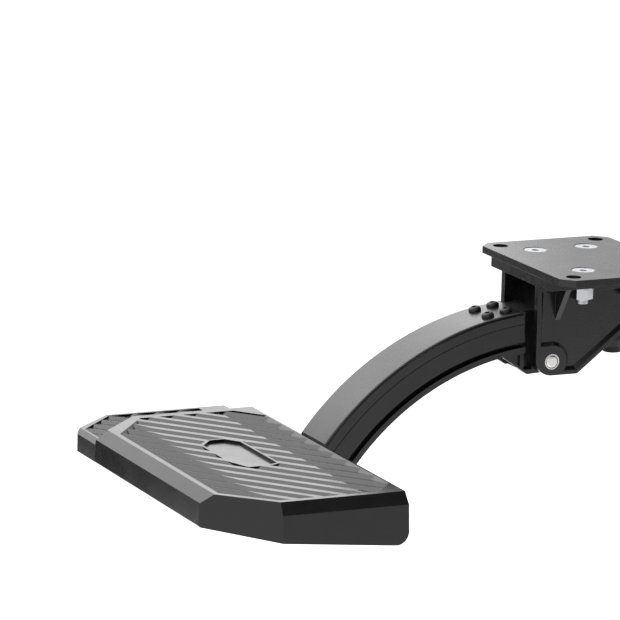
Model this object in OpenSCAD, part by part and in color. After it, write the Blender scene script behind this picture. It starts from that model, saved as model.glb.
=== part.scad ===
// Retractable bed step: a cast tread pad on a curved arm that swings on a pin under the vehicle's tail.
// Frame: X across the vehicle, +Y towards its front, +Z up. The origin is the middle of the mounting
// face, on top of the frame plate. The arm's middle plane is X = 0, and the step is shown swung out.

/* [Hinge place] */
// Hinge axis behind the middle of the mounting face
hinge_back = 45; // [40:1:50]
// Hinge axis below the mounting face
hinge_drop = 78; // [76:1:84]

/* [Pad] */
// Length of the raised main plate, across the vehicle
main_len = 296; // [280:1:310]
// Depth of the main plate's flat top, front to back
main_depth = 146; // [142:1:150]
// Middle of the main plate beside the arm's middle plane
pad_shift = 25; // [20:1:30]
// Leg of the corner cuts on the main plate's two rear corners
corner_cut = 39; // [34:1:44]
// Width and fall of the sloped rear edge
rear_bevel = 8.5; // [6:0.5:10]
// Length of the lower wing past the main plate's far end
wing_len = 46; // [40:1:50]
// Wing's top below the main plate's top
wing_drop = 9; // [8:0.5:10]
// Depth of the rear skirt, from the top to its lower edge
rear_skirt = 28.2; // [26:0.2:32]
// Depth of the front skirt, from the top to its lower edge
front_skirt = 43.4; // [40:0.2:46]
// Thickness of the cast skirt walls
wall = 4.5; // [4:0.5:5]

/* [Tread] */
// Angle of the tread ridges to the pad's long side
ridge_angle = 39.5; // [36:0.5:43]
// Distance from ridge to ridge, along the pad's long side
ridge_pitch = 25.7; // [24:0.1:28]
// Depth of the tread's valleys below the rim
ridge_depth = 3; // [2.6:0.1:3.4]
// Width of the flat bar on each ridge
bar_w = 5.8; // [5:0.2:6.4]

/* [Arm] */
// Radius of the arm's outer face
arm_r = 251; // [250:1:252]
// Middle of the arm's arc below the hinge axis
arm_centre_drop = 209; // [208:1:210]
// Depth of the arm's section
arm_depth = 34; // [33:0.5:35]
// Width of the arm
arm_w = 48; // [46:1:50]
// Wall of the hollow arm
arm_wall = 4; // [3:0.5:5]
// Hinge axis in front of the middle of the pad's main plate
pad_reach = 272.5; // [272:0.5:273]
// Pad's top below the hinge axis
pad_drop = 58.5; // [58:0.5:59]

/* [Hinge] */
// Radius of the hinge pin
pin_r = 5; // [4.5:0.1:5.5]
// Outer radius of the sleeves and bushings round the pin
sleeve_r = 6.5; // [6.4:0.1:7]
// Inner faces of the bracket's cheeks, from the middle plane
cheek_in = 27.2; // [27:0.1:28]
// Thickness of a cheek at its rim
cheek_t = 6.3; // [6:0.1:7]

/* [Mounting] */
// Hole spacing across the vehicle
mount_x = 132; // [128:1:140]
// Hole spacing along the vehicle
mount_y = 90; // [84:1:96]
// Radius of the mounting holes
mount_hole_r = 6.5; // [5:0.5:7]

/* [Hidden] */
$fn = 64;

black = [0.13, 0.13, 0.14];
steel = [0.75, 0.75, 0.74];
zinc = [0.62, 0.63, 0.64];
rubber = [0.05, 0.05, 0.05];

hinge = [0, -hinge_back, -hinge_drop];
pad_origin = hinge + [pad_shift, -pad_reach, -pad_drop];
// The arm's arc runs from this angle at the hinge end to this one at the pad, both from straight up
arm_start = 5.2;
arm_end = 72;
plug_gap = 0.15;

// Bracket outline round the hinge axis, in (Y, Z)
cheek_back = -14.8;
cheek_low = -11.8;
cheek_round = 14.8;
cheek_knee = 24;
cheek_front = 105;
flange_low = 64;
flange_t = 8;
flange_x = 53;
plate_y = 60;
plate_t = 6;
cheek_slope = 38;
rim = 3.5;
boss_r = 13.6;
pocket_t = 3;
pocket_lean = 0.9;
knuckle_x = cheek_in - 1.8;

// Lock plunger: its axis from the hinge axis, its radius and its travel
lock_y = 20;
lock_z = -2;
lock_r = 4;
stow_angle = 172;
bumper_y = 74;
bumper_low = -3.5;

// Pad, in its own frame: the middle of the main plate's top
main_x = main_len / 2;
main_y = main_depth / 2;
wing_x = -main_x - wing_len;
rear_low = -main_y - rear_bevel - 0.9;
front_low = main_y + 3.7;
nose_r = 11;
deck = 8.5;
boss_low = 11;
foot_x = -pad_shift;
// The near rear corner's cut, as x - y, and how far the end face leans out to its lower edge
main_cut = main_x + main_y - corner_cut;
end_low = main_x + 1.6;
end_out = end_low + 0.9;
// First valley of the tread and its steep side, square to the ridges
ridge_start = 6.2;
ridge_rise = 3.6;
wing_ridge = 2.2;
function skirt_z(y) = -rear_skirt - (front_skirt - rear_skirt) * (y - rear_low) / (front_low - rear_low);
// Points of an arc of radius r about c, from angle a to angle b
function arc(c, r, a, b, n = 6) = [for (i = [0:n]) c + r * [cos(a + (b - a) * i / n), sin(a + (b - a) * i / n)]];
function unit(v) = v / norm(v);
// Points of a rounded corner at b between the sides to a and c, about 6 degrees apart
function round_corner(a, b, c, r) =
    let (u = unit(a - b), v = unit(c - b), half = acos(u * v) / 2, mid = b + unit(u + v) * r / sin(half),
        s = b + u * r / tan(half) - mid, e = b + v * r / tan(half) - mid, n = ceil((90 - half) / 3))
    [for (k = [0:n]) mid + r * unit(s * (n - k) + e * k)];
// Outline p with its corners rounded, one radius for each corner
function soft(p, r) = let (m = len(p))
    [for (i = [0:m - 1]) each r[i] == 0 ? [p[i]] : round_corner(p[(i + m - 1) % m], p[i], p[(i + 1) % m], r[i])];

// Extrudes an outline drawn in (Y, Z) from x0 to x1
module side(x0, x1) {
    translate([x0, 0, 0]) rotate([90, 0, 90]) linear_extrude(x1 - x0) children();
}

// Round bar along X from x0 to x1
module bar(x0, x1, r) {
    translate([x0, 0, 0]) rotate([0, 90, 0]) cylinder(r = r, h = x1 - x0);
}

// Cone frustum along X from x0 to x1
module taper(x0, x1, r0, r1) {
    translate([x0, 0, 0]) rotate([0, 90, 0]) cylinder(r1 = r0, r2 = r1, h = x1 - x0);
}

// Upright prism over a plan outline, from z0 to z1
module plan(z0, z1) {
    translate([0, 0, z0]) linear_extrude(z1 - z0) children();
}

// Hexagonal prism, af across its flats
module hex(af, h) {
    cylinder(r = af / 2 / cos(30), h = h, $fn = 6);
}

// Shapes that several pieces share

// Sweeps a section (radius, X) along the arm's arc between two angles from straight up
module along_arc(a0, a1) {
    translate(hinge - [0, 0, arm_centre_drop]) rotate([0, 90, 0]) rotate([0, 0, 180 + a0])
        rotate_extrude(angle = a1 - a0, $fn = 240) children();
}

// Moves to the arm's outer face at an angle from straight up, +Z pointing out of the face
module on_arm(a, x = 0) {
    translate(hinge - [0, 0, arm_centre_drop]) rotate([a, 0, 0]) translate([x, 0, arm_r]) children();
}

// Rectangle in a sweep's section, with its outer corners rounded
module section(r0, r1, w, c) {
    translate([r0, -w / 2]) square([r1 - r0 - c, w]);
    translate([r0, -w / 2 + c]) square([r1 - r0, w - 2 * c]);
    for (s = [-1, 1]) translate([r1 - c, s * (w / 2 - c)]) circle(r = c, $fn = 32);
}

// Space in front of the pad's front edge, which the arm's lower end is cut to
module ahead_of_pad(gap = 0) {
    translate(pad_origin) side(-200, 200)
        polygon([[main_y + gap, 200], [main_y + gap, 0], [main_y + 3.2 + gap, -11],
            [front_low + gap, -front_skirt + nose_r], [front_low + gap, -front_skirt - 2.1],
            [260, -front_skirt - 2.1], [400, 200]]);
}

// Bracket

// Outline of a cheek
module cheek_outline() {
    polygon(soft([[cheek_back, flange_low + 1], [cheek_back, 3], [0, cheek_low], [cheek_knee, cheek_low],
        [cheek_front, cheek_low + (cheek_front - cheek_knee) * tan(cheek_slope)], [cheek_front, flange_low + 1]],
        [0, 0, 0, 4, 4, 0]));
    translate([0, 3]) circle(r = cheek_round);
}

// Space behind one leaning wall of the pocket in a cheek, d from the hinge axis at the cheek's outer face, facing angle a
module pocket_wall(a, d) {
    out = cheek_in + cheek_t;
    rotate([a, 0, 0]) translate([0, 0, -150]) linear_extrude(300)
        polygon([[out + 1, -150], [out + 1, d + pocket_lean], [out - pocket_t, d - pocket_t * pocket_lean], [out - pocket_t, -150]]);
}

// Pocket with leaning walls inside the cheek's rim, clear of the pin's boss and of the block behind it
module cheek_pocket() {
    out = cheek_in + cheek_t;
    low = cheek_low + rim;
    knee = cheek_knee - rim * tan(cheek_slope / 2);
    difference() {
        intersection() {
            pocket_wall(0, cheek_front - rim);
            pocket_wall(90, flange_low - 4);
            pocket_wall(180, -cheek_back - rim);
            pocket_wall(-90, -low);
            pocket_wall(cheek_slope - 90, knee * sin(cheek_slope) - low * cos(cheek_slope));
        }
        taper(out - pocket_t - 1, out + 2, boss_r + (pocket_t + 1) * pocket_lean, boss_r - 2 * pocket_lean);
        translate([0, 1, 0]) rotate([90, 0, 0]) linear_extrude(20)
            polygon([[out + 2, -20], [out + 2, boss_r - 0.2 - 2 * pocket_lean],
                [out - pocket_t - 1, boss_r - 0.2 + (pocket_t + 1) * pocket_lean], [out - pocket_t - 1, -20]]);
    }
}

// One cheek: a web with a raised rim along its edges and round the pin's boss
module cheek() {
    difference() {
        side(cheek_in, cheek_in + cheek_t) cheek_outline();
        cheek_pocket();
        bar(cheek_in - 1, cheek_in + cheek_t + 1, sleeve_r + 0.02);
    }
}

module hinge_bracket() {
    color(black) translate(hinge) difference() {
        union() {
            cheek();
            difference() {
                mirror([1, 0, 0]) cheek();
                translate([0, lock_y, lock_z]) bar(-60, 0, 6.05);
            }
            // top flange
            translate([-flange_x, -plate_y + hinge_back, flange_low]) cube([2 * flange_x, 2 * plate_y, flange_t]);
            // front web with the foot that carries the stow bumper
            translate([-cheek_in - 1, 84, 34]) cube([2 * cheek_in + 2, 6, flange_low - 33]);
            translate([-cheek_in - 1, 62, 30]) cube([2 * cheek_in + 2, 28, 6]);
            // gussets outside the cheeks, under the flange
            for (s = [-1, 1], y = [8, 87])
                mirror([s < 0 ? 1 : 0, 0, 0]) translate([cheek_in + cheek_t - pocket_t - 0.2, y, 0])
                    rotate([90, 0, 0]) linear_extrude(5)
                        polygon([[0, flange_low + 0.5], [19, flange_low + 0.5], [0, 34]]);
        }
        translate([0, hinge_back, flange_low]) plate_bolt_places() translate([0, 0, -1])
            cylinder(r = 5.2, h = flange_t + 2);
        translate([0, bumper_y, 29]) cylinder(r = 3.1, h = 8);
    }
}

module plate_bolt_places() {
    for (s = [-1, 1], t = [-1, 1]) translate([s * 43, t * 24, 0]) children();
}

module frame_plate() {
    color(black) difference() {
        translate([0, 0, -plate_t]) linear_extrude(plate_t)
            cut_plan(-mount_x / 2 - 14, mount_x / 2 + 14, -plate_y, plate_y, [[10, 10], [10, 10], [10, 10], [10, 10]]);
        for (s = [-1, 1], t = [-1, 1])
            translate([s * mount_x / 2, t * mount_y / 2, -plate_t - 1]) cylinder(r = mount_hole_r, h = plate_t + 2);
        plate_bolt_places() {
            translate([0, 0, -plate_t - 1]) cylinder(r = 5.2, h = plate_t);
            translate([0, 0, -5]) cylinder(r1 = 5.2, r2 = 11.2, h = 6);
        }
    }
}

// Flat-head bolts that hold the bracket to the frame plate
module plate_bolts() {
    color(zinc) plate_bolt_places() difference() {
        union() {
            translate([0, 0, -28]) cylinder(r = 4.9, h = 24);
            translate([0, 0, -5]) cylinder(r1 = 4.9, r2 = 9.5, h = 4.6);
        }
        translate([0, 0, -3.2]) hex(6, 5);
    }
}

module plate_nuts() {
    color(zinc) plate_bolt_places() translate([0, 0, -plate_t - flange_t - 10]) difference() {
        union() {
            hex(15, 8.6);
            translate([0, 0, 8.2]) cylinder(r = 9.2, h = 1.8);
        }
        translate([0, 0, -1]) cylinder(r = 4.95, h = 13);
    }
}

module pivot_pin() {
    color(steel) translate(hinge) difference() {
        union() {
            bar(-37, cheek_in + cheek_t - 1.2, pin_r);
            taper(-37.5, -37, pin_r - 0.5, pin_r);
            taper(cheek_in + cheek_t - 1.2, cheek_in + cheek_t - 0.7, pin_r, pin_r - 0.5);
        }
        difference() {
            bar(-35.4, -34.3, pin_r + 1);
            bar(-36, -34, 4.3);
        }
    }
}

// Hardened sleeve pressed into a cheek
module sleeve() {
    difference() {
        bar(cheek_in, cheek_in + cheek_t + 0.5, sleeve_r);
        bar(cheek_in - 1, cheek_in + cheek_t + 2, pin_r + 0.02);
        taper(cheek_in + cheek_t - 1.4, cheek_in + cheek_t + 0.6, pin_r, pin_r + 1);
    }
}

module right_pin_sleeve() {
    color(steel) translate(hinge) sleeve();
}

module left_pin_sleeve() {
    color(steel) translate(hinge) mirror([1, 0, 0]) sleeve();
}

module pin_retaining_ring() {
    color(zinc) translate(hinge) difference() {
        bar(-35.3, -34.4, 7.4);
        bar(-36, -34, 4.35);
        translate([-36, -2.6, -9]) cube([2, 5.2, 9]);
    }
}

// Rubber buffer that the folded arm rests against
module stow_bumper() {
    color(rubber) translate(hinge + [0, bumper_y, bumper_low]) difference() {
        union() {
            cylinder(r = 8, h = 12);
            translate([0, 0, 5]) cylinder(r1 = 8, r2 = 12, h = 7);
            translate([0, 0, 12]) cylinder(r = 12, h = 30 - 12 - bumper_low);
        }
        translate([0, 0, 15]) cylinder(r = 3.05, h = 30);
    }
}

// Stud and nut that hold the buffer to the bracket's foot
module bumper_nut() {
    color(zinc) translate(hinge + [0, bumper_y, 0]) {
        translate([0, 0, 12]) cylinder(r = 3, h = 32);
        translate([0, 0, 36]) hex(10, 5);
    }
}

// Lock

// Threaded barrel of the lock plunger, through the left cheek
module lock_body() {
    color(zinc) translate(hinge + [0, lock_y, lock_z]) difference() {
        union() {
            bar(-44, -cheek_in - 0.4, 6);
            translate([-50, 0, 0]) rotate([0, 90, 0]) hex(13, 8);
        }
        bar(-60, 0, lock_r + 0.05);
    }
}

module lock_nut() {
    color(zinc) translate(hinge + [0, lock_y, lock_z]) difference() {
        translate([-cheek_in - cheek_t - 6, 0, 0]) rotate([0, 90, 0]) hex(16, 6);
        bar(-60, 0, 6.05);
    }
}

module lock_pin() {
    color(steel) translate(hinge + [0, lock_y, lock_z]) {
        bar(-66, -cheek_in - 1.6, lock_r);
        taper(-cheek_in - 1.61, -cheek_in - 0.41, lock_r, lock_r - 1);
    }
}

// Grip of the plunger, with finger flutes round it
module lock_knob() {
    color(rubber) translate(hinge + [-60, lock_y, lock_z]) rotate([0, -90, 0]) difference() {
        rotate_extrude() difference() {
            union() {
                square([11, 12]);
                square([9, 14]);
                square([7, 15]);
            }
            translate([-1, -1]) square([lock_r + 1.02, 7.5]);
        }
        for (i = [0:7]) rotate(i * 45) translate([13, 0, -1]) cylinder(r = 3.6, h = 20);
    }
}

// Swinging step

// Cast knuckle: barrel round the pin, gusset under the arm, and a tongue inside the arm's end
module hinge_knuckle() {
    arm_in = arm_r - arm_depth;
    color(black) difference() {
        union() {
            translate(hinge) bar(-knuckle_x, knuckle_x, 11.5);
            difference() {
                translate(hinge) side(-23.5, 23.5)
                    polygon([[-40.2, 4.2], [-17.7, -11.6], [-4, -10.9], [11, -3], [11, 4], [5, 27], [-6, 41],
                        [-22.8, 41], [-24, 7]]);
                along_arc(arm_start - 0.03, 20) translate([arm_in - 0.1, -40]) square([60, 80]);
            }
            // lobe with the lock's seats, on the left
            translate(hinge) side(-knuckle_x, -8) {
                translate([lock_y, lock_z]) circle(r = 7.2);
                polygon([[0, -9], [lock_y, lock_z - 7.1], [lock_y, lock_z + 7.1], [0, 11]]);
                translate([-lock_y, lock_z + 0.5]) circle(r = 7.2);
                polygon([[0, -11.2], [-lock_y, lock_z - 6.6], [-lock_y, 6], [0, 11]]);
            }
            // tongue in the arm
            along_arc(4.6, 16) section(arm_r - 21 + plug_gap, arm_r - arm_wall - plug_gap, arm_w - 8.3, 1);
        }
        translate(hinge) bar(-60, 60, 4 + 1.9);
        for (s = [-1, 1]) translate(hinge) bar(s > 0 ? 5.4 : -60, s > 0 ? 60 : -5.4, sleeve_r + 0.02);
        // side pockets in the gusset and between the arm's end and the barrel
        for (s = [-1, 1]) mirror([s < 0 ? 1 : 0, 0, 0]) translate(hinge) {
            side(21.4, 30) polygon([[-35.5, 3.2], [-24.5, -4.4], [-24.5, 5.6]]);
            side(17.5, 30) polygon([[-21, -7.6], [-13.2, -7.6], [-13.2, 12], [-8, 42], [-21, 42]]);
        }
        // open underside of the gusset
        translate(hinge) {
            side(-19.4, 19.4) polygon([[-36.2, 1.4], [-36.2, -20], [-22.5, -20], [-22.5, 3.5]]);
            side(-16, 16) polygon([[-22.6, 3.5], [-22.6, -20], [-15.5, -20], [-15.5, -4], [-19, 3.5]]);
        }
        // lightening pocket in the back of the barrel's web
        translate(hinge) side(-13, 13) polygon([[-14, 14], [5, 14], [1, 26], [-8, 35], [-14, 35]]);
        // seats for the lock plunger, swung out and folded
        translate(hinge) for (a = [0, -stow_angle]) rotate([a, 0, 0]) translate([0, lock_y, lock_z])
            bar(-30, -14, lock_r + 0.3);
        for (a = [7.6, 11.4], x = [-12, 12]) on_arm(a, x) translate([0, 0, -20]) cylinder(r = 3.05, h = 22);
    }
}

// Flanged bushing that the pin runs in
module bushing() {
    difference() {
        union() {
            bar(5.6, knuckle_x, sleeve_r);
            bar(knuckle_x, cheek_in - 0.3, 9.5);
        }
        bar(0, 40, pin_r + 0.05);
    }
}

module right_bushing() {
    color([0.35, 0.28, 0.16]) translate(hinge) bushing();
}

module left_bushing() {
    color([0.35, 0.28, 0.16]) translate(hinge) mirror([1, 0, 0]) bushing();
}

// Bent box section with a flange below a deep groove, and a fine seam along each side
module curved_arm() {
    box_low = arm_r - 25;
    color(black) difference() {
        intersection() {
            along_arc(arm_start, arm_end) difference() {
                union() {
                    section(box_low, arm_r, arm_w, 2.5);
                    translate([box_low - 5, -arm_w / 2 + 5.5]) square([6, arm_w - 11]);
                    translate([arm_r - arm_depth, -arm_w / 2]) square([4.6, arm_w]);
                }
                translate([box_low + arm_wall, -arm_w / 2 + arm_wall]) square([25 - 2 * arm_wall, arm_w - 2 * arm_wall]);
                for (s = [-1, 1]) translate([arm_r - 10.4, s * arm_w / 2 - 0.6]) square([0.8, 1.2]);
            }
            ahead_of_pad(0.1);
        }
        for (a = [7.6, 11.4], x = [-12, 12]) on_arm(a, x) translate([0, 0, -6]) cylinder(r = 3.2, h = 8);
        foot_pin_places() bar(-30, 30, 1.02);
    }
}

module arm_root_screws() {
    color(zinc) for (a = [7.6, 11.4], x = [-12, 12]) on_arm(a, x) difference() {
        union() {
            translate([0, 0, -17]) cylinder(r = 3, h = 18);
            rotate_extrude() polygon(concat([[0, 0.05]], [[5.3, 0.05]], arc([2.3, 0.6], 3, 0, 78, 5), [[0, 3.6]]));
        }
        translate([0, 0, 1.6]) hex(4, 4);
    }
}

// The two cross pins through the arm's lower end
module foot_pin_places() {
    for (p = [[-181.2, -55.4], [-183.8, -59.8]]) translate(hinge + [0, p[0], p[1]]) children();
}

module foot_pins() {
    color(steel) foot_pin_places() bar(-arm_w / 2 - 0.2, arm_w / 2 + 0.2, 1);
}

// Cast foot: a plug in the arm's lower end and a tongue under the pad
module arm_foot() {
    w = 45;
    color(black) difference() {
        union() {
            intersection() {
                along_arc(46, 66) section(arm_r - 21 + plug_gap, arm_r - arm_wall - plug_gap, arm_w - 8.3, 1);
                union() {
                    ahead_of_pad(0.1);
                    translate(pad_origin + [-40, main_y, -42]) cube([80, 5, 42 - boss_low - 0.3]);
                }
            }
            translate(pad_origin) translate([foot_x, 0, 0]) side(-w / 2, w / 2)
                polygon([[main_y + 3.1, -boss_low - 0.3], [-32, -boss_low], [-32, -boss_low - 10],
                    [44, -boss_low - 10], [66, -42], [main_y + 3.1, -42]]);
        }
        for (x = [-13, 13], y = [-18, 30]) translate(pad_origin + [foot_x + x, y, -40]) cylinder(r = 4.3, h = 40);
        // pockets that leave three ribs under the tongue's root
        for (x = [-19, 2.5]) translate(pad_origin) translate([foot_x, 0, 0]) side(x, x + 16.5)
            polygon([[46, -boss_low - 7], [70, -boss_low - 12], [70, -50], [46, -50]]);
        foot_pin_places() bar(-30, 30, 1.02);
    }
}

// Pad

// Plan of a plate from x0 to x1 and y0 to y1, with its corners cut: rear left, rear right, front right, front left
module cut_plan(x0, x1, y0, y1, cuts) {
    polygon([[x0, y0 + cuts[0][1]], [x0 + cuts[0][0], y0], [x1 - cuts[1][0], y0], [x1, y0 + cuts[1][1]],
        [x1, y1 - cuts[2][1]], [x1 - cuts[2][0], y1], [x0 + cuts[3][0], y1], [x0, y1 - cuts[3][1]]]);
}

// Side outline of the pad: flat top at z = top, sloped edges, drafted skirts and a wedge-shaped lower edge
module pad_side(top, y0, y1, edge) {
    nose = arc([front_low - nose_r, nose_r - front_skirt], nose_r, 0, -84, 14);
    polygon(concat([[y0, top], [y1, top], [y1 + 3.2, top - 11]], nose,
        [[rear_low + 1.5, skirt_z(rear_low)], [rear_low, skirt_z(rear_low) + 1.5], edge]));
}

// Solid outer form of the raised main plate, bevelled on its rear and left edges
module main_form() {
    side_x = main_x + rear_bevel;
    rear = rear_low - 0.1;
    intersection() {
        side(-side_x, main_x + 10) pad_side(0, -main_y, main_y, [-main_y - rear_bevel, -rear_bevel]);
        rotate([90, 0, 0]) translate([0, 0, -120]) linear_extrude(240)
            polygon(concat([[-side_x, -rear_bevel], [-main_x, 0], [main_x, 0], [end_low, -11]],
                arc([end_out - 3, -front_skirt + 1.6], 3, 0, -90, 12), [[-side_x, -front_skirt - 2]]));
        plan(-60, 1) polygon(soft([[-main_x - 20, rear], [main_cut + rear, rear], [end_out + 0.1, end_out + 0.1 - main_cut],
            [end_out + 0.1, main_y + 20], [-main_x - 20, main_y + 20]], [0, 5, 5, 0, 0]));
        translate([-main_x + corner_cut - 1.5, -main_y, 0]) rotate([0, 0, -45]) side(-200, 200)
            polygon([[1, 1], [300, 1], [300, -60], [-rear_bevel - 1, -60], [-rear_bevel - 1, -rear_bevel - 1]]);
    }
}

// Solid outer form of the lower wing, which also fills the main plate's left rear corner
module wing_form() {
    low = wing_drop + 4;
    share = (low - rear_bevel) / (-skirt_z(rear_low) - 1.5 - rear_bevel);
    edge = -main_y - rear_bevel + share * (rear_low + main_y + rear_bevel);
    intersection() {
        side(wing_x, -main_x + 60) pad_side(-wing_drop, -main_y - 4.6, main_y - 5.5, [edge, -low]);
        plan(-60, 1) polygon(soft([[wing_x, -main_y + 32.8], [wing_x + 37.8, -main_y - 8.6], [0, -main_y - 8.6],
            [0, main_y + 20], [wing_x, main_y + 20]], [4, 4, 0, 0, 0]));
    }
}

// Half space behind a recess wall that slopes down by 3 in 4, d from the origin at z = 0, turned by a from +Y
module inside_edge(a, d) {
    rotate([0, 0, a]) side(-400, 400) polygon([[-400, 6], [d + 8, 6], [d - 8, -6], [-400, -6]]);
}

// Outline of the tread field on the main plate
module tread_field() {
    cut_plan(-main_x + 8, main_x - 5.5, -main_y + 4.5, main_y - 1, [[36, 28], [36, 36], [22, 18], [25, 20]]);
}

module wing_field() {
    near = -main_x - rear_bevel - 2;
    polygon([[wing_x + 3.5, 43], [wing_x + 3.5, -39], [-153.5, -main_y - 2.6], [-123, -main_y - 2.6],
        [near, -38], [near, 43]]);
}

// Outline of the plain panel in the middle of the tread, drawn out by d
module panel_field(d = 0) {
    cut_plan(-52 - d, 37 + d, -19 - d, 14.5 + d, [[14, 12], [22, 8], [4, 9], [12, 9]]);
}

// Space above the saw-toothed tread, whose valleys are depth below z = 0
module above_tread(depth) {
    pitch = ridge_pitch * sin(ridge_angle);
    count = 11;
    rotate([0, 0, ridge_angle]) rotate([90, 0, 90]) translate([0, 0, -260]) linear_extrude(520)
        polygon(concat([[(count + 1) * pitch, 6], [-(count + 1) * pitch, 6]],
            [for (i = [-count:count], p = [[0, -depth], [ridge_rise, -0.25]]) [p[0] + i * pitch + ridge_start, p[1]]]));
}

// Flat-topped bar on a ridge, with a sloped near side and a pointed rear end that leans down to the tread
module tread_bar() {
    foot = ridge_depth * ridge_rise / (ridge_depth - 0.25);
    point = [(-36 * cos(ridge_angle) - ridge_start) / sin(ridge_angle), -36];
    turn = atan2(8.5, (8.5 * cos(ridge_angle) + bar_w) / sin(ridge_angle));
    reach = point * [sin(turn), -cos(turn)];
    intersection() {
        rotate([0, 0, ridge_angle]) side(-150, 150)
            polygon([for (p = [[-foot, -ridge_depth], [0, 0], [0, 0.9], [bar_w, 0.9], [bar_w, -ridge_depth - 0.5],
                [-foot, -ridge_depth - 0.5]]) p + [ridge_start, 0]]);
        rotate([0, 0, 180 + turn]) side(-200, 200) polygon([[-200, 1], [reach - 1, 1], [reach + 4, -4], [-200, -4]]);
        plan(-5, 2) translate([-300, -200]) square([600, 239]);
    }
}

// Everything cut from the top faces
module tread_cut() {
    difference() {
        intersection() {
            above_tread(ridge_depth);
            plan(-ridge_depth - 1, 2) tread_field();
            inside_edge(0, main_y - 1.6);
            inside_edge(141, 113.1);
        }
        for (i = [-9:9]) translate([i * ridge_pitch, 0, 0]) tread_bar();
        plan(-6, 3) panel_field(2);
    }
    plan(-2.2, 3) panel_field();
    intersection() {
        translate([0, 0, -wing_drop]) above_tread(wing_ridge);
        plan(-wing_drop - ridge_depth - 1, 2) wing_field();
    }
}

// Ribbed hollow under the deck
module hollow() {
    difference() {
        union() {
            intersection() {
                side(-main_x + 3, main_x - wall + 1) polygon([[-main_y - 1, -deck], [main_y - wall + 1, -deck],
                    [front_low - wall, -60], [rear_low + wall, -60], [rear_low + wall + 0.5, -deck - 6]]);
                plan(-70, 0) cut_plan(-main_x, main_x + 10, -main_y - 20, front_low,
                    [[corner_cut + 24, corner_cut + 24], [corner_cut + 36, corner_cut + 36], [0, 0], [0, 0]]);
            }
            intersection() {
                side(wing_x + wall, main_x / 2) polygon([[-main_y - 2, -wing_drop - 7.5],
                    [main_y - 9, -wing_drop - 7.5], [main_y - 9, -60], [rear_low + wall, -60],
                    [rear_low + wall + 0.5, -wing_drop - 9]]);
                plan(-70, 0) cut_plan(wing_x + wall, main_x, rear_low + wall, front_low,
                    [[36.5, 40], [0, 0], [0, 0], [0, 0]]);
            }
        }
        // ribs from front to rear, the middle pair beside the foot
        for (x = [-147, -99, foot_x - 27, foot_x + 23.4, 46, 94])
            translate([x, -100, -20]) cube([3.6, 200, 20]);
        // rib along the pad
        difference() {
            translate([-200, -6, -18]) cube([400, 3.6, 18]);
            translate([foot_x - 25, -7, -40]) cube([50, 6, 40]);
        }
        for (x = [-13, 13], y = [-18, 30]) translate([foot_x + x, y, -boss_low]) cylinder(r = 7.5, h = 12);
    }
}

module step_pad() {
    color(black) translate(pad_origin) difference() {
        union() {
            main_form();
            wing_form();
        }
        tread_cut();
        hollow();
        // notch in the front skirt for the foot
        translate([foot_x - 22.6, main_y - 6, -60]) cube([45.2, 12, 60 - boss_low]);
        for (x = [-13, 13], y = [-18, 30]) translate([foot_x + x, y, -boss_low - 1]) cylinder(r = 3.9, h = 6.5);
    }
}

module pad_washers() {
    color(zinc) for (x = [-13, 13], y = [-18, 30])
        translate(pad_origin + [foot_x + x, y, -boss_low - 11.6]) difference() {
            cylinder(r = 8, h = 1.6);
            translate([0, 0, -1]) cylinder(r = 4.2, h = 4);
        }
}

module pad_screws() {
    color(zinc) for (x = [-13, 13], y = [-18, 30]) translate(pad_origin + [foot_x + x, y, -boss_low - 11.6]) {
        cylinder(r = 3.85, h = 16.6);
        translate([0, 0, -5.3]) hex(13, 5.3);
    }
}

hinge_bracket();
frame_plate();
plate_bolts();
plate_nuts();
pivot_pin();
right_pin_sleeve();
left_pin_sleeve();
pin_retaining_ring();
stow_bumper();
bumper_nut();
lock_body();
lock_nut();
lock_pin();
lock_knob();
hinge_knuckle();
right_bushing();
left_bushing();
curved_arm();
arm_root_screws();
arm_foot();
foot_pins();
step_pad();
pad_screws();
pad_washers();
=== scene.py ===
# %% [markdown]
# # A retractable bed step
# The step is a tread pad on a curved arm. The arm hangs on one pin in a hinge bracket, and swings
# forward on it to put the step away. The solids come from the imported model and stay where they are.
# Here they get soft edges, finishes, light and a camera, and a few small pieces are made by hand.

# %% Load the solids
import math

import bmesh
import bpy
from mathutils import Matrix, Vector
from mathutils.bvhtree import BVHTree


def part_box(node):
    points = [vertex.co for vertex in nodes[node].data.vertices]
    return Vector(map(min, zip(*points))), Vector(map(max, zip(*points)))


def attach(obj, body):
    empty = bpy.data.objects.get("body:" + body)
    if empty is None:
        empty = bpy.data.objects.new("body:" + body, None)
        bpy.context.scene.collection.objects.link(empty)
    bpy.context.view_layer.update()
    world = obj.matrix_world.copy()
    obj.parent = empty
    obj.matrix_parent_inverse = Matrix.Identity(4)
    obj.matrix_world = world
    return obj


MM = 0.001      # Blender works in metres

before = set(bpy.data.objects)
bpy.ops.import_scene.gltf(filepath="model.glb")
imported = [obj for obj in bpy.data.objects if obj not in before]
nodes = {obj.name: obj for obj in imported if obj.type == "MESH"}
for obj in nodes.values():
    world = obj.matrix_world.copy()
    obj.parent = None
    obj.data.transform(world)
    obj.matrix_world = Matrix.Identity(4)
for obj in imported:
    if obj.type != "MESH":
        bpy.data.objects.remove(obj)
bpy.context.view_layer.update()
print("solids:", len(nodes))

# %% [markdown]
# ## The camera
# A product photo of this kind is taken with a long lens from some metres away, so parallel edges
# hardly converge. The camera could be placed with a constraint or by eye. A matrix made from its
# azimuth, elevation and roll is exact, and each angle can be read off and changed on its own.

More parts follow.
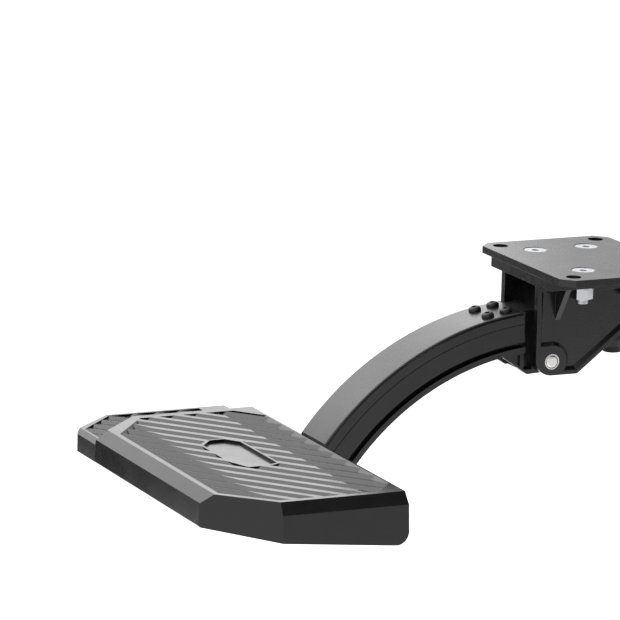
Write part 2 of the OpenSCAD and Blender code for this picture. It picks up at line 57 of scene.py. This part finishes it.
# %% Which way the camera looks
azimuth, elevation, roll = math.radians(65.09), math.radians(12.4), math.radians(1.485)
back = Vector((math.sin(azimuth) * math.cos(elevation),
               -math.cos(azimuth) * math.cos(elevation),
               math.sin(elevation)))
level_right = Vector((math.cos(azimuth), math.sin(azimuth), 0))
level_up = back.cross(level_right)
right = level_right * math.cos(roll) + level_up * math.sin(roll)
up = level_up * math.cos(roll) - level_right * math.sin(roll)
camera_turn = Matrix((right, up, back)).transposed().to_4x4()
print("the camera looks along", [round(v, 3) for v in -back])

# %% Place the camera
frame_pixels, focal_pixels, sensor_mm = 620, 4779.65, 36
pad_middle = Vector((0, -0.3175, -0.1365))
distance, to_the_right, above = 3.86912, 0.063804, 0.111054      # in metres from the pad's middle
camera_place = pad_middle + right * to_the_right + up * above + back * distance

camera_data = bpy.data.cameras.new("camera")
camera_data.sensor_width = sensor_mm
camera_data.lens = sensor_mm * focal_pixels / frame_pixels
camera_data.clip_end = 50
camera = bpy.data.objects.new("camera", camera_data)
bpy.context.scene.collection.objects.link(camera)
camera.matrix_world = Matrix.Translation(camera_place) @ camera_turn
bpy.context.scene.camera = camera
bpy.context.scene.view_settings.view_transform = "Standard"
print("lens", round(camera_data.lens, 1), "mm, distance", distance, "m")

# %% [markdown]
# ## The studio
# Black powder coat shows little of its own colour: what is seen on it is the room's reflection. A
# white room gives the pale sheen on faces that are seen at a flat angle. Strong lamps could make
# the room white, but they would turn the step grey. So the world and the floor are plain white to
# the camera and to reflections, and dimmer as a source of light, and the shadows stay deep.

# %% Helpers that add nodes and join their sockets
def add(tree, kind, place, **settings):
    """Adds a node. Each setting is the value of an input, or else a property of the node."""
    node = tree.nodes.new(kind)
    node.location = place
    for name, value in settings.items():
        if name in node.inputs:
            node.inputs[name].default_value = value
        else:
            setattr(node, name, value)
    return node


def join(tree, *pairs):
    """Links the first socket of each pair, an output, to the second, an input."""
    for output, socket in pairs:
        tree.links.new(output, socket)


def seen_mask(tree):
    """Puts out 1 for what the camera, a reflection or a clear piece sees, and 0 for other light."""
    path = add(tree, "ShaderNodeLightPath", (-900, 300))
    open_view = add(tree, "ShaderNodeMath", (-700, 300), operation="MAXIMUM")
    any_view = add(tree, "ShaderNodeMath", (-500, 300), operation="MAXIMUM")
    join(tree,
         (path.outputs["Is Camera Ray"], open_view.inputs[0]),
         (path.outputs["Is Glossy Ray"], open_view.inputs[1]),
         (open_view.outputs[0], any_view.inputs[0]),
         (path.outputs["Is Transmission Ray"], any_view.inputs[1]))
    return any_view.outputs[0]


# %% The world
WHITE = (1, 1, 1, 1)
world_light = 0.42

world = bpy.data.worlds.new("studio")
bpy.context.scene.world = world
world.use_nodes = True
sky = world.node_tree
sky.nodes.clear()
as_light = add(sky, "ShaderNodeBackground", (-200, 100), Color=WHITE, Strength=world_light)
as_seen = add(sky, "ShaderNodeBackground", (-200, -100), Color=WHITE, Strength=1.0)
sky_mix = add(sky, "ShaderNodeMixShader", (50, 0))
sky_out = add(sky, "ShaderNodeOutputWorld", (250, 0))
join(sky,
     (seen_mask(sky), sky_mix.inputs[0]),
     (as_light.outputs[0], sky_mix.inputs[1]),
     (as_seen.outputs[0], sky_mix.inputs[2]),
     (sky_mix.outputs[0], sky_out.inputs[0]))
print("the world is seen at 1 and lights at", world_light)

# %% The floor, well below the hanging step
floor_height, floor_width = -0.62, 30
bpy.ops.object.select_all(action="DESELECT")
bpy.ops.mesh.primitive_plane_add(size=floor_width, location=(0, 0, floor_height))
floor = bpy.context.object
floor.name = "studio_floor"

# %% Its paper: matt, and lifted to white where it is seen
pale_grey, paper_glow = (0.8, 0.8, 0.8, 1), 0.76
paper = bpy.data.materials.new("floor_paper")
paper.use_nodes = True
paper_tree = paper.node_tree
paper_tree.nodes.clear()
matt = add(paper_tree, "ShaderNodeBsdfDiffuse", (-200, 100), Color=pale_grey)
glow = add(paper_tree, "ShaderNodeEmission", (-200, -100), Color=WHITE)
both = add(paper_tree, "ShaderNodeAddShader", (50, 0))
paper_out = add(paper_tree, "ShaderNodeOutputMaterial", (250, 0))
lift = add(paper_tree, "ShaderNodeMath", (-400, -100), operation="MULTIPLY")
lift.inputs[1].default_value = paper_glow
join(paper_tree,
     (seen_mask(paper_tree), lift.inputs[0]),
     (lift.outputs[0], glow.inputs["Strength"]),
     (matt.outputs[0], both.inputs[0]),
     (glow.outputs[0], both.inputs[1]),
     (both.outputs[0], paper_out.inputs[0]))
floor.data.materials.append(paper)
print(paper.name, "has", len(paper_tree.nodes), "nodes")

# %% [markdown]
# ## The lamps
# A soft box is a lamp behind a wide white cloth. A wide one hangs over the far rear corner and
# lights the tread, and a weaker one on the far side gives the arm's top its sheen. Spot lamps would
# be quicker to aim, but they leave small hard highlights, and a black coat shows each of them.

# %% Two soft boxes
def turned_to(at, aim, axis):
    """Gives the turn that points an axis of a thing at one place to another place."""
    return (Vector(aim) - Vector(at)).to_track_quat(axis, "Y").to_euler()


def soft_box(name, at, aim, size, watts):
    """Adds a wide lamp that the camera can't see."""
    lamp = bpy.data.lights.new(name, "AREA")
    lamp.shape = "RECTANGLE"
    lamp.size, lamp.size_y = size
    lamp.energy = watts
    holder = bpy.data.objects.new(name, lamp)
    bpy.context.scene.collection.objects.link(holder)
    holder.location = at
    holder.rotation_euler = turned_to(at, aim, "-Z")
    holder.visible_camera = False
    print(name, "is", size[0], "by", size[1], "m, with", watts, "W")


part_middle = (0, -0.25, -0.12)
soft_box("lamp_overhead", (-0.9, -1.0, 1.75), part_middle, (1.8, 1.9), 40)
soft_box("lamp_far_side", (-2.1, -0.1, 0.76), part_middle, (2.2, 1.0), 12.5)

# %% [markdown]
# ## Dark cards
# Black products are shot with black cards opposite the faces that should go dark: here one beside
# the near end, one over the hinge, and a low one behind the far rear corner. A darker finish on
# those faces would stay dark from every side. A card works as in a studio: it is seen in
# reflections only, and takes no light away.

# %% Three cards of black felt
felt = bpy.data.materials.new("black_felt")
felt.use_nodes = True
felt_shader = felt.node_tree.nodes["Principled BSDF"]
felt_shader.inputs["Base Color"].default_value = (0.005, 0.005, 0.005, 1)
felt_shader.inputs["Roughness"].default_value = 1.0


def dark_card(name, at, aim, size):
    """Adds a flat card that shows in reflections and nowhere else."""
    bpy.ops.object.select_all(action="DESELECT")
    bpy.ops.mesh.primitive_plane_add(size=1, location=at)
    card = bpy.context.object
    card.name = name
    card.scale = (*size, 1)
    card.rotation_euler = turned_to(at, aim, "Z")
    bpy.ops.object.transform_apply(location=True, rotation=True, scale=True)
    card.data.materials.append(felt)
    card.visible_camera = card.visible_shadow = card.visible_diffuse = False
    print(name, "is", size[0], "by", size[1], "m")


near_card_height, low_card_height = 0.46, -0.22
dark_card("dark_card_near", (1.45, 0.45, near_card_height), (0, -0.25, near_card_height),
          (2.4, 1.48))
dark_card("dark_card_over", (0.85, 1.05, 1.75), part_middle, (2.0, 1.7))
dark_card("dark_card_low", (-1.13, -0.94, low_card_height), (0, -0.4, low_card_height),
          (0.9, 0.54))

# %% [markdown]
# ## Effects that several finishes share
# Powder coat is a skin of melted grains: it has a fine orange peel, and its gloss differs a little
# from place to place. Corners and raised bars rub smoother and paler with use. Each effect could be
# drawn again in every material, but a node group is built once and takes its own values in each.

# %% Helpers for groups
def start_group(name, inputs, outputs):
    """Starts a group with number sockets, and gives it with its input node and output node."""
    group = bpy.data.node_groups.new(name, "ShaderNodeTree")
    for label, value in inputs.items():
        socket = group.interface.new_socket(label, in_out="INPUT", socket_type="NodeSocketFloat")
        socket.default_value = value
    for label in outputs:
        group.interface.new_socket(label, in_out="OUTPUT", socket_type="NodeSocketFloat")
    return group, add(group, "NodeGroupInput", (-1100, 0)), add(group, "NodeGroupOutput", (700, 0))


def stretch(tree, place, start, end):
    """Adds a node that spreads the values from start to end over its output range."""
    return add(tree, "ShaderNodeMapRange", place, **{"From Min": start, "From Max": end})


# %% Orange peel: height, roughness and mottle of a powder coat
orange_peel, peel_in, peel_out = start_group(
    "orange_peel",
    {"Grain": 900.0, "Patches": 28.0, "Rough": 0.4, "Spread": 0.08},
    ["Height", "Roughness", "Mottle"])
peel_place = add(orange_peel, "ShaderNodeTexCoord", (-1100, 300))
grain = add(orange_peel, "ShaderNodeTexNoise", (-800, 300), Detail=2.0, Roughness=0.55)
pebble = add(orange_peel, "ShaderNodeTexVoronoi", (-800, 50), feature="SMOOTH_F1", Smoothness=0.6)
patch = add(orange_peel, "ShaderNodeTexNoise", (-800, -250), Detail=5.0, Roughness=0.6)
height = add(orange_peel, "ShaderNodeMath", (-500, 200), operation="ADD")
smoothest = add(orange_peel, "ShaderNodeMath", (-500, -50), operation="SUBTRACT")
roughest = add(orange_peel, "ShaderNodeMath", (-500, -120), operation="ADD")
roughness = stretch(orange_peel, (-500, -250), 0.3, 0.7)
join(orange_peel,
     (peel_place.outputs["Object"], grain.inputs["Vector"]),
     (peel_place.outputs["Object"], pebble.inputs["Vector"]),
     (peel_place.outputs["Object"], patch.inputs["Vector"]),
     (peel_in.outputs["Grain"], grain.inputs["Scale"]),
     (peel_in.outputs["Grain"], pebble.inputs["Scale"]),
     (peel_in.outputs["Patches"], patch.inputs["Scale"]),
     (grain.outputs[0], height.inputs[0]),
     (pebble.outputs["Distance"], height.inputs[1]),
     (peel_in.outputs["Rough"], smoothest.inputs[0]),
     (peel_in.outputs["Spread"], smoothest.inputs[1]),
     (peel_in.outputs["Rough"], roughest.inputs[0]),
     (peel_in.outputs["Spread"], roughest.inputs[1]),
     (patch.outputs[0], roughness.inputs["Value"]),
     (smoothest.outputs[0], roughness.inputs["To Min"]),
     (roughest.outputs[0], roughness.inputs["To Max"]),
     (height.outputs[0], peel_out.inputs["Height"]),
     (roughness.outputs[0], peel_out.inputs["Roughness"]),
     (patch.outputs[0], peel_out.inputs["Mottle"]))
print(orange_peel.name, "has", len(orange_peel.nodes), "nodes")

# %% Edge rub: a mask that is bright on corners
edge_rub, rub_in, rub_out = start_group(
    "edge_rub", {"Width": 1.2 * MM, "Breaks": 160.0, "Amount": 0.5}, ["Mask"])
rub_place = add(edge_rub, "ShaderNodeTexCoord", (-1100, 300))
rounded = add(edge_rub, "ShaderNodeBevel", (-800, 200), samples=4)
unrounded = add(edge_rub, "ShaderNodeNewGeometry", (-800, 0))
likeness = add(edge_rub, "ShaderNodeVectorMath", (-550, 100), operation="DOT_PRODUCT")
corner = stretch(edge_rub, (-350, 100), 0.995, 0.86)
noise = add(edge_rub, "ShaderNodeTexNoise", (-550, -200), Detail=4.0, Roughness=0.65)
breaks = stretch(edge_rub, (-350, -200), 0.42, 0.62)
broken_corner = add(edge_rub, "ShaderNodeMath", (-100, 0), operation="MULTIPLY")
mask = add(edge_rub, "ShaderNodeMath", (150, 0), operation="MULTIPLY", use_clamp=True)
join(edge_rub,
     (rub_in.outputs["Width"], rounded.inputs["Radius"]),
     (rounded.outputs[0], likeness.inputs[0]),
     (unrounded.outputs["True Normal"], likeness.inputs[1]),
     (likeness.outputs["Value"], corner.inputs["Value"]),
     (rub_place.outputs["Object"], noise.inputs["Vector"]),
     (rub_in.outputs["Breaks"], noise.inputs["Scale"]),
     (noise.outputs[0], breaks.inputs["Value"]),
     (corner.outputs[0], broken_corner.inputs[0]),
     (breaks.outputs[0], broken_corner.inputs[1]),
     (broken_corner.outputs[0], mask.inputs[0]),
     (rub_in.outputs["Amount"], mask.inputs[1]),
     (mask.outputs[0], rub_out.inputs["Mask"]))
print(edge_rub.name, "has", len(edge_rub.nodes), "nodes")

# %% [markdown]
# ## Finishes
# The step, arm and bracket share one satin black powder coat, and the cast pieces are a little
# rougher. The pin and its sleeves are bare turned steel, the small screws zinc plated or blackened,
# the bushings bronze and the buffer rubber. One flat colour each would do from far away. Up close
# a finish needs two tones, uneven gloss and a fine bump, and one maker gives all of them that.

# %% One maker for all finishes
dark_tone, pale_tone = 0.8, 1.25      # times the finish's colour


def make_finish(name, colour, rough, spread, peel_mm, rub=0.0, grain=900.0, shine=0.5,
                metallic=0.0, worn_colour=(0.16, 0.16, 0.165)):
    """Makes a material with the two shared effects: peel_mm is the peel's depth, rub its wear."""
    material = bpy.data.materials.new(name)
    material.use_nodes = True
    tree = material.node_tree
    shader = tree.nodes["Principled BSDF"]
    shader.inputs["Specular IOR Level"].default_value = shine
    shader.inputs["Metallic"].default_value = metallic
    skin = add(tree, "ShaderNodeGroup", (-900, 0), node_tree=orange_peel,
               Grain=grain, Rough=rough, Spread=spread)
    rubbed = add(tree, "ShaderNodeGroup", (-900, -300), node_tree=edge_rub, Amount=rub)
    bump = add(tree, "ShaderNodeBump", (-300, -300), Strength=1.0, Distance=peel_mm * MM)
    tone = add(tree, "ShaderNodeMix", (-600, 250), data_type="RGBA",
               A=(*[c * dark_tone for c in colour], 1), B=(*[c * pale_tone for c in colour], 1))
    worn = add(tree, "ShaderNodeMix", (-300, 250), data_type="RGBA", B=(*worn_colour, 1))
    join(tree,
         (skin.outputs["Mottle"], tone.inputs["Factor"]),
         (tone.outputs["Result"], worn.inputs["A"]),
         (rubbed.outputs["Mask"], worn.inputs["Factor"]),
         (worn.outputs["Result"], shader.inputs["Base Color"]),
         (skin.outputs["Roughness"], shader.inputs["Roughness"]),
         (skin.outputs["Height"], bump.inputs["Height"]),
         (bump.outputs[0], shader.inputs["Normal"]))
    print(name, "has a roughness of", rough, "and a peel of", peel_mm, "mm")
    return material


# %% Powder coats
BLACK = (0.008, 0.008, 0.0083)
coat = make_finish("powder_coat_black", BLACK, 0.25, 0.03, peel_mm=0.02, rub=0.12, shine=0.42)
arm_coat = make_finish("arm_powder_coat", BLACK, 0.27, 0.04, peel_mm=0.02, rub=0.12, shine=0.46)
bracket_coat = make_finish("bracket_powder_coat", BLACK, 0.28, 0.04, peel_mm=0.03, rub=0.15)
cast_coat = make_finish("cast_powder_coat_black", (0.007, 0.007, 0.0072), 0.36, 0.06,
                        peel_mm=0.04, rub=0.15, grain=600.0)

# %% Metals
BARE_METAL = (0.7, 0.7, 0.7)
turned_steel = make_finish("turned_steel", (0.72, 0.71, 0.69), 0.3, 0.06,
                           peel_mm=0.003, grain=1500.0, metallic=1.0)
zinc = make_finish("zinc_plate", (0.5, 0.51, 0.53), 0.36, 0.08, peel_mm=0.01, rub=0.3,
                   grain=700.0, metallic=1.0, worn_colour=BARE_METAL)
black_oxide = make_finish("black_oxide", (0.03, 0.03, 0.032), 0.42, 0.08, peel_mm=0.01, rub=0.4,
                          metallic=0.6, worn_colour=(0.3, 0.3, 0.3))
bronze = make_finish("sintered_bronze", (0.32, 0.22, 0.11), 0.45, 0.1,
                     peel_mm=0.03, grain=1400.0, metallic=1.0)

# %% Rubber and plastic
rubber_and_groove_shade = make_finish("buffer_rubber_and_groove_shade", (0.018, 0.018, 0.018), 0.7, 0.08, peel_mm=0.04, grain=500.0)
grip = make_finish("knob_grip", (0.025, 0.025, 0.026), 0.5, 0.06, peel_mm=0.03, rub=0.2,
                   grain=800.0, worn_colour=(0.1, 0.1, 0.1))

# %% [markdown]
# ## Dress the solids
# A pressed, cast or moulded edge is never sharp, and the thin line of light along it is what makes
# a black part readable. The edges could be rounded in the solids, at the cost of thousands of
# faces. A bevel modifier does it on the finished shape: the loose triangles are welded, flat areas
# are joined again, and only real corners get a radius.

# %% Each piece's finish, its corner radius in mm, and the smallest angle that counts as a corner
LARGE_PIECE, SMALL_PIECE, TREAD = 20, 24, 7      # smallest corner angles in degrees
DRESS = {
    "hinge_bracket": (bracket_coat, 0.7, LARGE_PIECE),
    "frame_plate": (bracket_coat, 0.6, LARGE_PIECE),
    "hinge_knuckle": (cast_coat, 0.8, LARGE_PIECE),
    "curved_arm": (arm_coat, 0.4, SMALL_PIECE),
    "arm_foot": (cast_coat, 0.6, LARGE_PIECE),
    "step_pad": (coat, 0.35, TREAD),
    "plate_bolts": (zinc, 0.2, SMALL_PIECE),
    "plate_nuts": (zinc, 0.2, SMALL_PIECE),
    "pivot_pin": (turned_steel, 0.12, SMALL_PIECE),
    "right_pin_sleeve": (turned_steel, 0.1, SMALL_PIECE),
    "left_pin_sleeve": (turned_steel, 0.1, SMALL_PIECE),
    "pin_retaining_ring": (zinc, 0.1, SMALL_PIECE),
    "stow_bumper": (rubber_and_groove_shade, 0.8, LARGE_PIECE),
    "bumper_nut": (zinc, 0.2, SMALL_PIECE),
    "lock_body": (zinc, 0.2, SMALL_PIECE),
    "lock_nut": (zinc, 0.2, SMALL_PIECE),
    "lock_pin": (turned_steel, 0.2, SMALL_PIECE),
    "lock_knob": (grip, 0.6, LARGE_PIECE),
    "right_bushing": (bronze, 0.1, SMALL_PIECE),
    "left_bushing": (bronze, 0.1, SMALL_PIECE),
    "arm_root_screws": (black_oxide, 0.12, SMALL_PIECE),
    "foot_pins": (black_oxide, 0.1, SMALL_PIECE),
    "pad_screws": (zinc, 0.2, SMALL_PIECE),
    "pad_washers": (zinc, 0.15, SMALL_PIECE),
}
print("finishes chosen for", len(DRESS), "of", len(nodes), "solids")

# %% [markdown]
# ## Flat faces and round ones
# A round wall should shade smoothly and a flat face should stay flat. Edges could be marked sharp
# by hand, but the marks would be lost each time model.glb is made again, so geometry nodes mark them
# by their angle. On the near end faces even a slight edge parts light from dark, and is marked too.

# %% Edges over 40 degrees are sharp, and on end faces also those over 4
sharp_angle, slight_angle = math.radians(40), math.radians(4)
end_face = 0.97      # least share of a normal that points along X
even = bpy.data.node_groups.new("even_shading", "GeometryNodeTree")
even.interface.new_socket("Mesh", in_out="INPUT", socket_type="NodeSocketGeometry")
even.interface.new_socket("Mesh", in_out="OUTPUT", socket_type="NodeSocketGeometry")


def more_than(place, limit):
    """Adds a node that compares a number with a limit."""
    node = add(even, "FunctionNodeCompare", place, data_type="FLOAT", operation="GREATER_THAN")
    node.inputs[1].default_value = limit
    return node


mesh_in = add(even, "NodeGroupInput", (-600, 0))
mesh_out = add(even, "NodeGroupOutput", (400, 0))
smooth = add(even, "GeometryNodeSetShadeSmooth", (-350, 0))
angle = add(even, "GeometryNodeInputMeshEdgeAngle", (-750, -200))
face_normal = add(even, "GeometryNodeInputNormal", (-950, -400))
apart = add(even, "ShaderNodeSeparateXYZ", (-750, -400))
steep = more_than((-500, -200), sharp_angle)
slight = more_than((-500, -350), slight_angle)
at_end = more_than((-500, -500), end_face)
end_edge = add(even, "FunctionNodeBooleanMath", (-300, -400), operation="AND")
any_edge = add(even, "FunctionNodeBooleanMath", (-100, -300), operation="OR")
sharpen = add(even, "GeometryNodeSetMeshNormal", (100, 0), mode="SHARPNESS")
sharpen.inputs["Remove Custom"].default_value = True
join(even,
     (mesh_in.outputs[0], smooth.inputs[0]),
     (smooth.outputs[0], sharpen.inputs["Mesh"]),
     (angle.outputs["Unsigned Angle"], steep.inputs[0]),
     (angle.outputs["Unsigned Angle"], slight.inputs[0]),
     (face_normal.outputs["Normal"], apart.inputs[0]),
     (apart.outputs["X"], at_end.inputs[0]),
     (slight.outputs[0], end_edge.inputs[0]),
     (at_end.outputs[0], end_edge.inputs[1]),
     (steep.outputs[0], any_edge.inputs[0]),
     (end_edge.outputs[0], any_edge.inputs[1]),
     (any_edge.outputs[0], sharpen.inputs["Edge Sharpness"]),
     (sharpen.outputs[0], mesh_out.inputs[0]))
print(even.name, "has", len(even.nodes), "nodes")

# %% Soft edges
def soften(piece, radius_mm, corner_degrees):
    """Rounds a solid's corners with modifiers, and leaves its mesh as it is."""
    weld = piece.modifiers.new("weld", "WELD")
    weld.merge_threshold = 0.02 * MM
    flat = piece.modifiers.new("flat_areas", "DECIMATE")
    flat.decimate_type = "DISSOLVE"
    flat.angle_limit = math.radians(0.4)
    edge = piece.modifiers.new("edges", "BEVEL")
    edge.width = radius_mm * MM
    edge.segments = 3
    edge.limit_method = "ANGLE"
    edge.angle_limit = math.radians(corner_degrees)
    edge.use_clamp_overlap = True
    piece.modifiers.new("even_shading", "NODES").node_group = even
    weigh = piece.modifiers.new("large_faces_rule", "WEIGHTED_NORMAL")
    weigh.keep_sharp = True
    weigh.weight = 80


for name, (finish, radius_mm, corner_degrees) in DRESS.items():
    solid = nodes[name]
    solid.data.materials.clear()
    solid.data.materials.append(finish)
    soften(solid, radius_mm, corner_degrees)
print("dressed", len(DRESS), "of", len(nodes), "solids")

# %% [markdown]
# ## The end of the hinge pin
# It is the one bright spot on the step. A lathe leaves a chamfer, fine turned grooves and a narrow
# gap to the ring round it. It could be drawn as a bump, but the chamfer has to catch its own
# reflection, so it is a mesh: a cylinder whose end face is extruded, scaled and inset, as a lathe
# would cut it.

# %% Helpers that start a round piece and shape its end
def new_round(name, radius, start, length, sides=96, axis="X"):
    """Adds a cylinder that runs along X or Z from a start point, with its place in its mesh."""
    bpy.ops.object.select_all(action="DESELECT")
    along = Vector((1, 0, 0)) if axis == "X" else Vector((0, 0, 1))
    turned = (0, math.pi / 2, 0) if axis == "X" else (0, 0, 0)
    bpy.ops.mesh.primitive_cylinder_add(vertices=sides, radius=radius, depth=length,
                                        location=start + along * length / 2, rotation=turned)
    piece = bpy.context.object
    piece.name = piece.data.name = name
    bpy.ops.object.transform_apply(location=True, rotation=True, scale=True)
    return piece


def pick_end(piece, along):
    """In edit mode, selects the faces at the end of a piece that a direction points to."""
    same_way, tolerance = 0.99, 0.001 * MM
    bpy.ops.object.mode_set(mode="EDIT")
    bpy.ops.mesh.select_mode(type="FACE")
    bpy.ops.mesh.select_all(action="DESELECT")
    mesh = bmesh.from_edit_mesh(piece.data)
    facing = [f for f in mesh.faces if f.normal.dot(along) > same_way]
    far = max(f.calc_center_median().dot(along) for f in facing)
    for face in facing:
        face.select_set(face.calc_center_median().dot(along) > far - tolerance)
    bmesh.update_edit_mesh(piece.data)


def push(along, scale, centre):
    """Extrudes the selected faces, and scales them across that direction about a centre."""
    bpy.ops.mesh.extrude_region_move(TRANSFORM_OT_translate={"value": along})
    bpy.ops.transform.resize(value=[1 if a else scale for a in along], center_override=centre)


# %% Helpers that finish a piece and copy it
def finish_piece(piece, finish, body, edge_mm):
    """Rounds the corners, smooths the rest, and gives the piece its finish and its body."""
    bpy.ops.object.mode_set(mode="OBJECT")
    soft = piece.modifiers.new("edges", "BEVEL")
    soft.width, soft.segments, soft.limit_method = edge_mm * MM, 2, "ANGLE"
    bpy.ops.object.modifier_apply(modifier=soft.name)
    bpy.ops.object.shade_smooth_by_angle(angle=math.radians(30))
    piece.data.materials.append(finish)
    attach(piece, body)
    corners = [[round(pick(v.co[k] for v in piece.data.vertices) / MM, 2) for k in range(3)]
               for pick in (min, max)]
    print(piece.name, "has", len(piece.data.polygons), "faces; box in mm:", *corners)


def copy_piece(piece, name, shift, body):
    """Copies a piece with a mesh of its own, and moves the copy inside that mesh."""
    copy = piece.copy()
    copy.data = piece.data.copy()
    copy.name = copy.data.name = name
    bpy.context.scene.collection.objects.link(copy)
    copy.data.transform(Matrix.Translation(shift))
    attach(copy, body)


# %% The turned end
OUTWARD = Vector((1, 0, 0))
end_radius, end_depth, end_length = 5.2 * MM, 1.5 * MM, 1.3 * MM
flat_radius, chamfer = 4.25 * MM, 0.95 * MM
groove_step, groove_depth = 0.9 * MM, 0.03 * MM

sleeve_low, sleeve_high = (Vector(corner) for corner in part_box("right_pin_sleeve"))
sleeve_mouth = Vector((sleeve_high.x,
                       (sleeve_low.y + sleeve_high.y) / 2,
                       (sleeve_low.z + sleeve_high.z) / 2))
pin_start = sleeve_mouth - Vector((end_depth, 0, 0))
pin_end = new_round("pin_turned_end", end_radius, pin_start, end_length)
pick_end(pin_end, OUTWARD)
push((chamfer, 0, 0), flat_radius / end_radius, sleeve_mouth)
for depth in (-groove_depth, groove_depth) * 2:
    bpy.ops.mesh.inset(thickness=groove_step, depth=depth)
finish_piece(pin_end, turned_steel, "bracket", edge_mm=0.05)

# %% The ring round it, set into the mouth of the sleeve; its groove is coloured black as painted shade
ring_radius, ring_depth, ring_length = 5.5 * MM, 1 * MM, 0.2 * MM
lip_radius, lip_width, lip_height, groove = 5.94 * MM, 0.52 * MM, 0.78 * MM, 0.7 * MM
groove_shade_radius, groove_shade_top = 5.45 * MM, -0.1 * MM

ring_start = sleeve_mouth - Vector((ring_depth, 0, 0))
pin_ring = new_round("pin_end_ring", ring_radius, ring_start, ring_length)
pick_end(pin_ring, OUTWARD)
push((lip_height, 0, 0), lip_radius / ring_radius, sleeve_mouth)
bpy.ops.mesh.inset(thickness=lip_width)
push((-groove, 0, 0), 1, sleeve_mouth)
finish_piece(pin_ring, turned_steel, "bracket", edge_mm=0.05)
# The groove's faces take the black rubber finish as painted shade: the shadow of the ring's lip in
# the gap round the pin end
pin_ring.data.materials.append(rubber_and_groove_shade)
for face in pin_ring.data.polygons:
    from_mouth = face.center - sleeve_mouth
    face.material_index = int(from_mouth.yz.length < groove_shade_radius and from_mouth.x < groove_shade_top)
# The count is of the faces painted black as shade in the groove
print("faces in the seal:", sum(face.material_index for face in pin_ring.data.polygons))

# %% [markdown]
# ## Bolt threads
# Below the frame plate the bolt ends stand out of their nuts, and their threads show. A screw
# surface could be spun, but at this size stacked V rings look the same and close properly: one end
# face is extruded and scaled up and down in turn. The finished collar is copied for each bolt, each
# copy with its own mesh.

# %% Where the bolts end
hair = 0.01 * MM      # heights closer than this count as one
least_bolt_gap = 20 * MM
bolt_points = [v.co for v in nodes["plate_bolts"].data.vertices]
lowest = min(p.z for p in bolt_points)
tips = []
for point in (p for p in bolt_points if p.z < lowest + hair):
    same_bolt = next((tip for tip in tips if (tip[0] - point).xy.length < least_bolt_gap), None)
    if same_bolt:
        same_bolt.append(point)
    else:
        tips.append([point])
bolt_ends = sorted([(min(p[k] for p in tip) + max(p[k] for p in tip)) / 2 for k in (0, 1)]
                   for tip in tips)
print("bolt ends in mm:", [(round(x / MM), round(y / MM)) for x, y in bolt_ends])

# %% One threaded collar, and its copies
core, crest, half_pitch, ridges = 4.8 * MM, 5.15 * MM, 0.6 * MM, 3
plain_tip, collar_start = 0.4 * MM, 0.2 * MM
first_x, first_y = bolt_ends[0]
foot = Vector((first_x, first_y, lowest + plain_tip))
thread = new_round("bolt_thread_1", core, foot, collar_start, sides=48, axis="Z")
pick_end(thread, Vector((0, 0, 1)))
for grow in (crest / core, core / crest) * ridges:
    push((0, 0, half_pitch), grow, foot)
finish_piece(thread, zinc, "bracket", edge_mm=0.05)
for k, (x, y) in enumerate(bolt_ends[1:], 2):
    copy_piece(thread, f"bolt_thread_{k}", (x - first_x, y - first_y, 0), "bracket")
print("threads:", len(bolt_ends))

# %% [markdown]
# ## Ejector marks
# Pins push a moulded pad out of its tool and leave a round mark in each bay below the deck. They
# are too small for the solids, and a picture of them would be flat. One shallow dish is modelled
# and copied to places that are found by looking up at the deck from below: a mark fits where a
# whole ring of rays meets the deck at one height.

# %% Looking up at the deck
pad_mesh = nodes["step_pad"].data
pad_surface = BVHTree.FromPolygons([v.co for v in pad_mesh.vertices],
                                   [tuple(p.vertices) for p in pad_mesh.polygons])
pad_low, pad_high = (Vector(corner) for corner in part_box("step_pad"))
free_radius, rays, least_depth, level = 9 * MM, 12, 15 * MM, 0.999


def height_above(x, y):
    """Gives the height of the first face above a point below the pad, if that face is level."""
    start = Vector((x, y, pad_low.z - 10 * MM))
    point, normal, _, _ = pad_surface.ray_cast(start, Vector((0, 0, 1)))
    return point.z if point is not None and normal.z < -level else None


def free_height(x, y):
    """Gives the deck's height above a point, if no rib or boss is near it."""
    angles = [k * 2 * math.pi / rays for k in range(rays)]
    ring = [(x + free_radius * math.cos(a), y + free_radius * math.sin(a)) for a in angles]
    heights = [height_above(*spot) for spot in [(x, y), *ring]]
    if None in heights or max(heights) - min(heights) > hair:
        return None
    return heights[0] if heights[0] >= pad_low.z + least_depth else None


print("a mark needs a flat place of", 2 * free_radius / MM, "mm across")

# %% Places for the marks, on a grid of 4 mm and at least 36 mm apart
grid_mm, least_gap = 4, 36 * MM
marks = []
for x_mm in range(math.ceil(pad_low.x / MM), int(pad_high.x / MM), grid_mm):
    for y_mm in range(math.ceil(pad_low.y / MM), int(pad_high.y / MM), grid_mm):
        spot = Vector((x_mm * MM, y_mm * MM, 0))
        if any((spot - other).xy.length <= least_gap for other in marks):
            continue
        deck = free_height(spot.x, spot.y)
        if deck is not None:
            marks.append(Vector((spot.x, spot.y, deck)))
print("marks fit at, in mm:", [tuple(round(c / MM) for c in mark) for mark in marks])

# %% One mark, and its copies
mark_radius, mark_height, mark_thickness = 3 * MM, 0.2 * MM, 0.25 * MM
rim_width, dish_depth, dish_taper = 0.4 * MM, 0.12 * MM, 0.97
first = marks[0]
mark_start = first - Vector((0, 0, mark_height))
mark = new_round("ejector_mark_1", mark_radius, mark_start, mark_thickness, sides=48, axis="Z")
pick_end(mark, Vector((0, 0, -1)))
bpy.ops.mesh.inset(thickness=rim_width)
push((0, 0, dish_depth), dish_taper, first)
finish_piece(mark, coat, "step", edge_mm=0.04)
for k, spot in enumerate(marks[1:], 2):
    copy_piece(mark, f"ejector_mark_{k}", spot - first, "step")
print("ejector marks:", len(marks))
